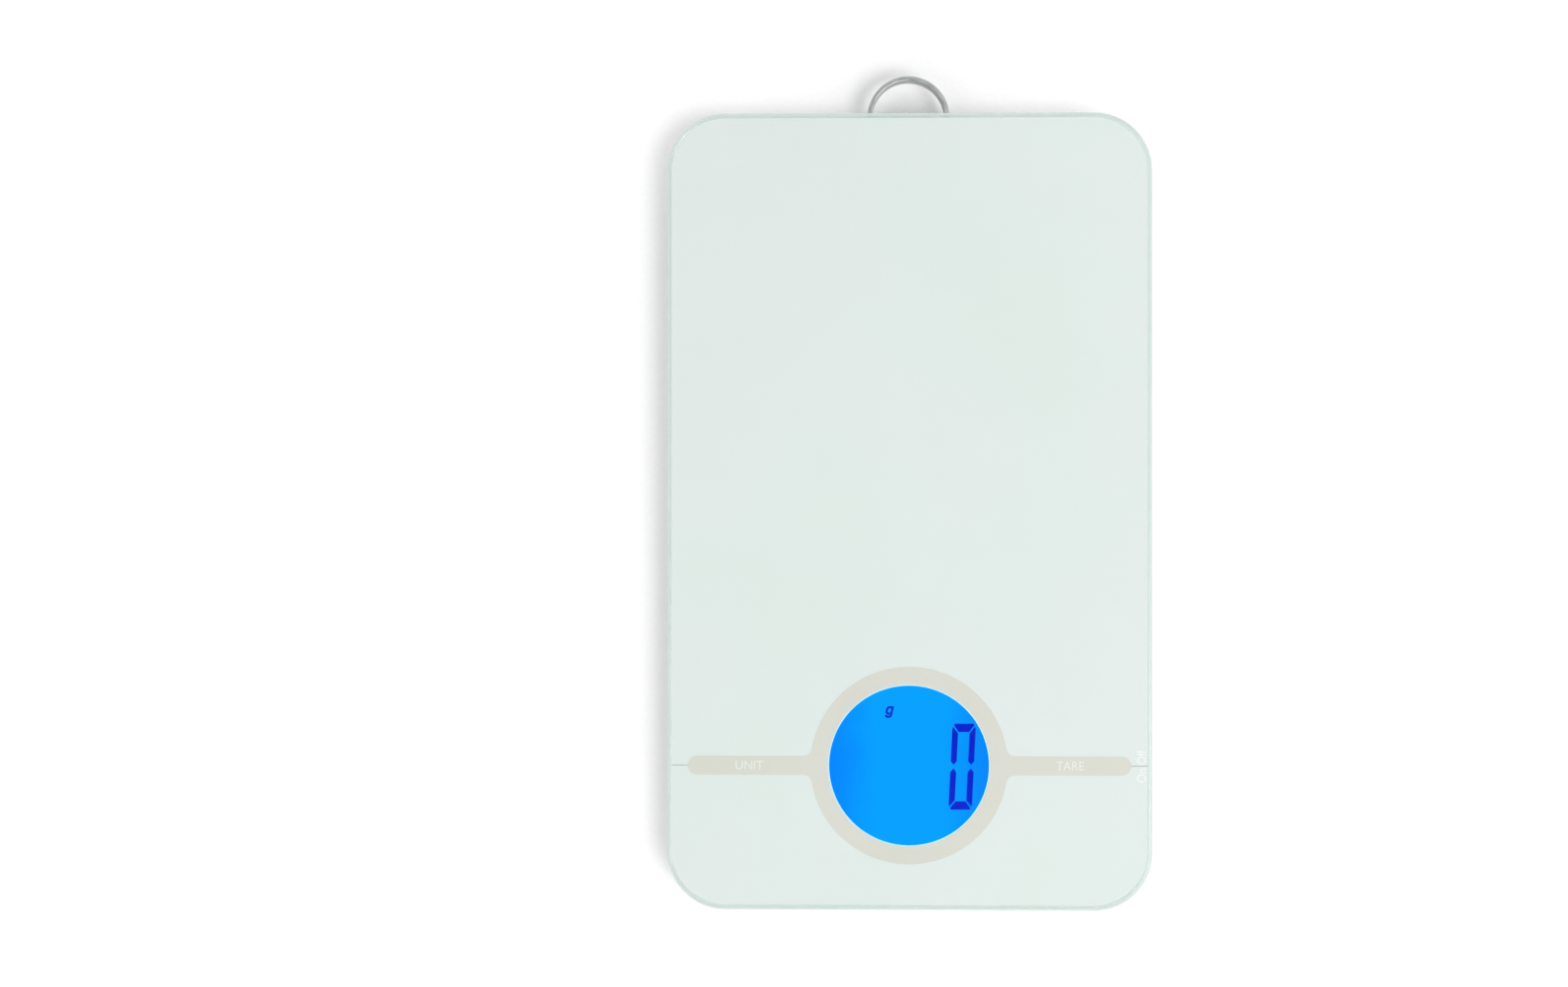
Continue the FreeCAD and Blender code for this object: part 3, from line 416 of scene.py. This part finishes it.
printing = {"thick": 0.012 * mm, "lineWide": 0.3 * mm, "capHigh": 2.5 * mm, "unitWide": 7.9 * mm,
            "tareWide": 7.9 * mm, "powerWide": 9.3 * mm, "powerHigh": 2.6 * mm, "fromEdge": 2.7 * mm,
            "unitLeft": 45.7 * mm, "tareRight": 46.0 * mm, "clear": 0.004 * mm}
printLow = inkHigh.z + printing["clear"]
printTop = printLow + printing["thick"]


def lettering(name, words, width, height, middle, turn=0.0, lean=0.0, weight=0.0, material=None,
              low=None):
    curve = bpy.data.curves.new(name, "FONT")
    curve.body = words
    curve.size = 1.0
    curve.shear = lean
    curve.offset = weight
    curve.resolution_u = 8
    curve.extrude = 0.01
    draft = bpy.data.objects.new(name + "Draft", curve)
    scene.collection.objects.link(draft)
    mesh = bpy.data.meshes.new_from_object(draft.evaluated_get(bpy.context.evaluated_depsgraph_get()))
    bpy.data.objects.remove(draft)
    bm = bmesh.new()
    bm.from_mesh(mesh)
    lows = Vector([min(v.co[i] for v in bm.verts) for i in range(3)])
    highs = Vector([max(v.co[i] for v in bm.verts) for i in range(3)])
    size = highs - lows
    bmesh.ops.translate(bm, vec=-(lows + highs) / 2, verts=bm.verts)
    bmesh.ops.scale(bm, vec=(width / size.x, height / size.y, printing["thick"] / size.z), verts=bm.verts)
    bmesh.ops.rotate(bm, cent=(0, 0, 0), matrix=Matrix.Rotation(turn, 3, "Z"), verts=bm.verts)
    bottom = printLow if low is None else low
    bmesh.ops.translate(bm, vec=(middle[0], middle[1], bottom + printing["thick"] / 2), verts=bm.verts)
    return finishPiece(name, bm, material or paleInk)


def pointerLine(name, start, end):
    bm = bmesh.new()
    slab(bm, ((start + end) / 2, display.y), abs(end - start), printing["lineWide"],
         printLow, printTop)
    return finishPiece(name, bm, greyInk)


lettering("unitWord", "UNIT", printing["unitWide"], printing["capHigh"], (-printing["unitLeft"], display.y))
lettering("tareWord", "TARE", printing["tareWide"], printing["capHigh"], (printing["tareRight"], display.y))
lettering("powerWord", "On/Off", printing["powerWide"], printing["powerHigh"],
          (glassHigh.x - printing["fromEdge"], display.y), turn=math.pi / 2, material=brightInk)
backLow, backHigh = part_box("back_print")
pointerLine("leftPointerLine", backLow.x, inkLow.x)
pointerLine("rightPointerLine", inkHigh.x, backHigh.x)
print("printing made")


digit = {"right": 15.2 * mm, "drop": 0.3 * mm, "halfHigh": 12.3 * mm, "halfWide": 3.35 * mm,
         "sideThick": 1.72 * mm, "endThick": 2.4 * mm, "gap": 0.3 * mm, "waist": 0.5 * mm,
         "corner": 0.75 * mm, "lean": math.radians(2.8), "thick": 0.012 * mm,
         "shoulderDrop": 0.4 * mm, "outerDrop": 1.5 * mm, "pointShare": 0.6}
cellShape = {"corner": 0.4 * mm, "ease": 0.12 * mm}
windowRim = {"inner": 22.86 * mm, "outer": 23.08 * mm, "below": 0.1 * mm, "above": 0.01 * mm, "steps": 128}
unitSign = {"wide": 2.65 * mm, "high": 3.4 * mm, "left": 5.6 * mm, "up": 15.3 * mm, "lean": 0.22,
            "weight": 0.035}


def cell():
    bm = bmesh.new()
    size = lcdHigh - lcdLow
    slab(bm, display, size.x, size.y, lcdLow.z, lcdHigh.z, cellShape["corner"], 3)
    roundEdges(bm, sharpEdges(bm, 60), cellShape["ease"], 2)
    return finishPiece("displayCell", bm, finishes["display_blue"], "case", ["lcd_panel"])


def digitSegments():
    # the figure nought: an end bar and two side bars, then the same turned upside down
    d = digit
    bm = bmesh.new()
    inner = d["halfWide"] - d["sideThick"]
    shoulder = d["halfHigh"] - d["shoulderDrop"]
    point = d["waist"] + d["sideThick"] * d["pointShare"]
    top = [(d["halfWide"] - d["corner"], d["halfHigh"]),
           (d["halfWide"] - d["corner"] / 2, shoulder),
           (inner - d["gap"] / 2, d["halfHigh"] - d["endThick"])]
    side = [(d["halfWide"] - d["corner"] / 3, shoulder - 1.5 * d["gap"]),
            (inner, d["halfHigh"] - d["endThick"] - d["gap"]),
            (inner, point),
            (inner + d["sideThick"] / 2, d["waist"]),
            (d["halfWide"], point),
            (d["halfWide"], d["halfHigh"] - d["outerDrop"])]
    outlines = [top + [(-x, y) for x, y in reversed(top)], side, [(-x, y) for x, y in reversed(side)]]
    for outline in outlines:
        face = bm.faces.new([bm.verts.new((x, y, 0)) for x, y in outline])
        grown = bmesh.ops.extrude_face_region(bm, geom=[face], use_keep_orig=True)
        lifted = [v for v in grown["geom"] if isinstance(v, bmesh.types.BMVert)]
        bmesh.ops.translate(bm, vec=(0, 0, d["thick"]), verts=lifted)
    turned = bmesh.ops.duplicate(bm, geom=bm.verts[:] + bm.edges[:] + bm.faces[:])
    bmesh.ops.rotate(bm, cent=(0, 0, 0), matrix=Matrix.Rotation(math.pi, 3, "Z"),
                     verts=[v for v in turned["geom"] if isinstance(v, bmesh.types.BMVert)])
    lean = Matrix.Identity(4)
    lean[0][1] = math.tan(d["lean"])
    bmesh.ops.transform(bm, matrix=lean, verts=bm.verts)
    place = (display.x + d["right"], display.y - d["drop"], display.z + printing["clear"])
    bmesh.ops.translate(bm, vec=place, verts=bm.verts)
    return finishPiece("displayDigit", bm, segmentInk)


def windowEdge():
    # the printed window's cut edge, with a painted glow in pale blue standing in for the display's light
    # that it catches from below
    w = windowRim
    bm = bmesh.new()
    low = inkHigh.z - w["below"]
    high = inkHigh.z + w["above"]
    section = ((w["inner"], low), (w["outer"], low), (w["outer"], high), (w["inner"], high))
    made = [bm.verts.new((display.x + radius, display.y, z)) for radius, z in section]
    outline = [bm.edges.new(pair) for pair in zip(made, made[1:] + made[:1])]
    bmesh.ops.spin(bm, geom=made + outline, cent=(display.x, display.y, 0), axis=(0, 0, 1),
                   angle=math.tau, steps=w["steps"], use_merge=True)
    return finishPiece("windowEdge", bm, paintedRimGlow)


cell()
digitSegments()
windowEdge()
lettering("displayUnit", "\u0261", unitSign["wide"], unitSign["high"],
          (display.x - unitSign["left"], display.y + unitSign["up"]), lean=unitSign["lean"],
          weight=unitSign["weight"], material=segmentInk,
          low=display.z + printing["clear"])
print("display made")


softening = {"tray": 0.12 * mm, "button": 0.3 * mm, "cover": 0.12 * mm}


def tray():
    bm = softenedCopy("base_tray", softening["tray"])
    return finishPiece("lowerTray", bm, finishes["white_abs"], "case", ["base_tray"])


def powerButton():
    bm = softenedCopy("power_button", softening["button"], 3)
    return finishPiece("sideButton", bm, finishes["white_abs"], "power_button",
                       ["power_button"])


def batteryDoor():
    bm = softenedCopy("battery_cover", softening["cover"])
    return finishPiece("batteryDoor", bm, finishes["white_abs"], "battery_cover",
                       ["battery_cover"])


tray()
powerButton()
batteryDoor()
print("tray made")


footShape = {"cap": 11.0 * mm, "flange": 12.75 * mm, "stud": 3.0 * mm, "pad": 9.5 * mm,
             "groove": 0.5 * mm, "grooveDeep": 0.35 * mm, "ease": 0.25 * mm,
             "capHigh": 4.4 * mm, "flangeThick": 0.8 * mm, "padEase": 0.12 * mm, "padClear": 0.02 * mm,
             "dimple": 1.6 * mm, "dimpleDeep": 0.25 * mm, "grooveInner": 4.2 * mm, "grooveOuter": 6.6 * mm}


def foot(corner):
    low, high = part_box("foot_" + corner)
    padLow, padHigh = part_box("foot_pad_" + corner)
    middle = (low + high) / 2
    f = footShape
    bm = bmesh.new()
    capTop = low.z + f["capHigh"]
    flangeTop = capTop + f["flangeThick"]
    lathe(bm, [(0, padHigh.z), (f["pad"], padHigh.z), (f["pad"], low.z), (f["cap"], low.z),
               (f["cap"], capTop), (f["flange"], capTop), (f["flange"], flangeTop),
               (f["stud"], flangeTop), (f["stud"], high.z), (0, high.z)], middle)
    roundEdges(bm, sharpEdges(bm), f["ease"], 3)
    finishPiece("footCap." + corner, bm, finishes["grey_abs"], "foot_" + corner,
                ["foot_" + corner])
    bm = bmesh.new()
    dimpleTop = padLow.z + f["dimpleDeep"]
    profile = [(0, dimpleTop), (f["dimple"], dimpleTop), (f["dimple"], padLow.z)]
    for radius in (f["grooveInner"], f["grooveOuter"]):
        profile += [(radius, padLow.z), (radius, padLow.z + f["grooveDeep"]),
                    (radius + f["groove"], padLow.z + f["grooveDeep"]), (radius + f["groove"], padLow.z)]
    side = f["pad"] - f["padClear"]
    padTop = padHigh.z - f["padClear"] / 2
    profile += [(side, padLow.z), (side, padTop), (0, padTop)]
    lathe(bm, profile, middle)
    roundEdges(bm, sharpEdges(bm), f["padEase"], 2)
    finishPiece("footPad." + corner, bm, finishes["foot_rubber"], "foot_" + corner,
                ["foot_pad_" + corner])


for corner in ("front_left", "front_right", "rear_left", "rear_right"):
    foot(corner)
print("feet made")


loopLow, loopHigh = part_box("hanging_loop")
loopShape = {"thick": 1.4 * mm, "outer": loopHigh.y - loopCentre.y, "bendSteps": 56, "edge": 0.32 * mm,
             "tabReach": loopHigh.x}


def hangingLoop():
    # one strip on edge: half a circle, then two straight legs that turn out into tabs inside the tray
    s = loopShape
    bm = bmesh.new()
    inner = s["outer"] - s["thick"]
    section = [bm.verts.new((loopCentre.x + r, loopCentre.y, z)) for r, z in
               ((inner, loopLow.z), (s["outer"], loopLow.z), (s["outer"], loopHigh.z), (inner, loopHigh.z))]
    start = bm.faces.new(section)
    bmesh.ops.spin(bm, geom=[start], cent=(loopCentre.x, loopCentre.y, 0), axis=(0, 0, 1),
                   angle=math.pi, steps=s["bendSteps"], use_duplicate=False)
    tabTop = loopLow.y + s["thick"]
    for side in (1, -1):
        face = min((f for f in bm.faces if abs(f.calc_center_median().y - loopCentre.y) < 1e-7
                    and f.calc_center_median().x * side > 0), key=lambda f: abs(abs(f.normal.y) - 1))
        for run in (tabTop, loopLow.y):
            grown = bmesh.ops.extrude_face_region(bm, geom=[face])
            face = next(f for f in grown["geom"] if isinstance(f, bmesh.types.BMFace))
            bmesh.ops.translate(bm, vec=(0, run - face.calc_center_median().y, 0), verts=face.verts[:])
        tab = next(f for f in bm.faces if abs(f.calc_center_median().y - (tabTop + loopLow.y) / 2) < 1e-7
                   and f.calc_center_median().x * side > s["outer"] - 1e-6)
        grown = bmesh.ops.extrude_face_region(bm, geom=[tab])
        tip = next(f for f in grown["geom"] if isinstance(f, bmesh.types.BMFace))
        bmesh.ops.translate(bm, vec=(side * (s["tabReach"] - s["outer"]), 0, 0), verts=tip.verts[:])
    doomed = [f for f in bm.faces if not all(len(e.link_faces) == 2 for e in f.edges)
              or any(len(e.link_faces) > 2 for e in f.edges)]
    inside = [f for f in doomed if abs(f.calc_center_median().y - loopCentre.y) < 1e-7
              or abs(f.calc_center_median().y - tabTop) < 1e-7]
    bmesh.ops.delete(bm, geom=inside, context="FACES_ONLY")
    bmesh.ops.recalc_face_normals(bm, faces=bm.faces)
    roundEdges(bm, sharpEdges(bm, 60), s["edge"], 3)
    for face in bm.faces:
        face.normal_update()
        # faces turned up or down take the lighter colour and upright faces the darker one, partly painted
        # light and shade
        face.material_index = 1 if abs(face.normal.z) > 0.4 else 0
    piece = finishPiece("hangingLoop", bm, finishes["steel_strip"], "hanging_loop",
                        ["hanging_loop"], sharp=40)
    piece.data.materials.append(satinLitEdge)
    return piece


hangingLoop()
print("loop made")


studio = {"floorWide": 60.0, "floorColour": "#f6f6f6", "worldLow": 1.05, "worldTop": 0.06,
          "dimTowards": (-0.13, -0.04, 1.0), "dimInside": 14, "dimOutside": 27,
          "keySize": 0.64, "keyPower": 7.5, "keyFrom": (0.60, -0.37, 1.25),
          "horizonShare": 0.8, "hazeUpTo": 0.3}


def paleFloor():
    bm = bmesh.new()
    bmesh.ops.create_grid(bm, x_segments=1, y_segments=1, size=studio["floorWide"] / 2)
    mesh = bpy.data.meshes.new("paleFloor")
    bm.to_mesh(mesh)
    bm.free()
    material, tree, output = startMaterial("mattPaper")
    fibre = cloudiness(tree, 1.2 * mm, 2.0)
    surface = addNode(tree, "ShaderNodeBsdfPrincipled", {"Roughness": 0.9, "Specular IOR Level": 0.0}, {
        "Base Color": between(tree, fibre.outputs["Fac"], 0.3, 0.7, "#f4f4f4", studio["floorColour"])})
    tree.links.new(surface.outputs["BSDF"], output.inputs["Surface"])
    mesh.materials.append(material)
    floor = bpy.data.objects.new("paleFloor", mesh)
    scene.collection.objects.link(floor)


def softLight(name, place, size, power, target):
    lamp = bpy.data.lights.new(name, "AREA")
    lamp.shape = "DISK"
    lamp.size = size
    lamp.energy = power
    light = bpy.data.objects.new(name, lamp)
    light.location = place
    light.rotation_euler = (target - Vector(place)).to_track_quat("-Z", "Y").to_euler()
    scene.collection.objects.link(light)


def studioWorld():
    # bright all round and dim straight overhead, so that the glass doesn't mirror a white ceiling
    world = bpy.data.worlds.new("studio")
    world.use_nodes = True
    tree = world.node_tree
    tree.nodes.clear()
    place = addNode(tree, "ShaderNodeTexCoord")
    axis = Vector(studio["dimTowards"]).normalized()
    nearness = addNode(tree, "ShaderNodeVectorMath", {1: axis}, {0: place.outputs["Generated"]},
                       operation="DOT_PRODUCT")
    level = addNode(tree, "ShaderNodeMapRange", {
        "From Min": math.cos(math.radians(studio["dimOutside"])),
        "From Max": math.cos(math.radians(studio["dimInside"])),
        "To Min": studio["worldLow"], "To Max": studio["worldTop"]},
        {"Value": nearness.outputs["Value"]}, interpolation_type="SMOOTHSTEP")
    height = addNode(tree, "ShaderNodeSeparateXYZ", links={"Vector": place.outputs["Generated"]})
    haze = addNode(tree, "ShaderNodeMapRange", {
        "From Min": 0.0, "From Max": studio["hazeUpTo"], "To Min": studio["horizonShare"], "To Max": 1.0},
        {"Value": height.outputs["Z"]}, interpolation_type="SMOOTHSTEP")
    strength = addNode(tree, "ShaderNodeMath", links={0: level.outputs["Result"], 1: haze.outputs["Result"]},
                       operation="MULTIPLY")
    sky = addNode(tree, "ShaderNodeBackground", {"Color": (1.0, 1.0, 1.0, 1.0)},
                  {"Strength": strength.outputs["Value"]})
    addNode(tree, "ShaderNodeOutputWorld", links={"Surface": sky.outputs["Background"]})
    scene.world = world


view = {"high": 600 * mm, "leanDegrees": 1.17, "aimX": -35.7 * mm, "aimY": -0.8 * mm, "across": 446.6 * mm}


def topCamera():
    # looks almost straight down, and aims a little left of the scale
    high = view["high"]
    lean = math.radians(view["leanDegrees"])
    aim = Vector((view["aimX"], view["aimY"], glassHigh.z))
    lens = bpy.data.cameras.new("topCamera")
    lens.sensor_width = 36.0
    lens.lens = lens.sensor_width * high / view["across"]
    lens.clip_start = 0.01
    camera = bpy.data.objects.new("topCamera", lens)
    camera.location = aim + Vector((math.tan(lean) * high, 0, high))
    camera.rotation_euler = (0, lean, 0)
    scene.collection.objects.link(camera)
    scene.camera = camera


paleFloor()
softLight("keyLight", studio["keyFrom"], studio["keySize"], studio["keyPower"], glassMiddle)
studioWorld()
topCamera()
scene.view_settings.view_transform = "Standard"
print("studio made")
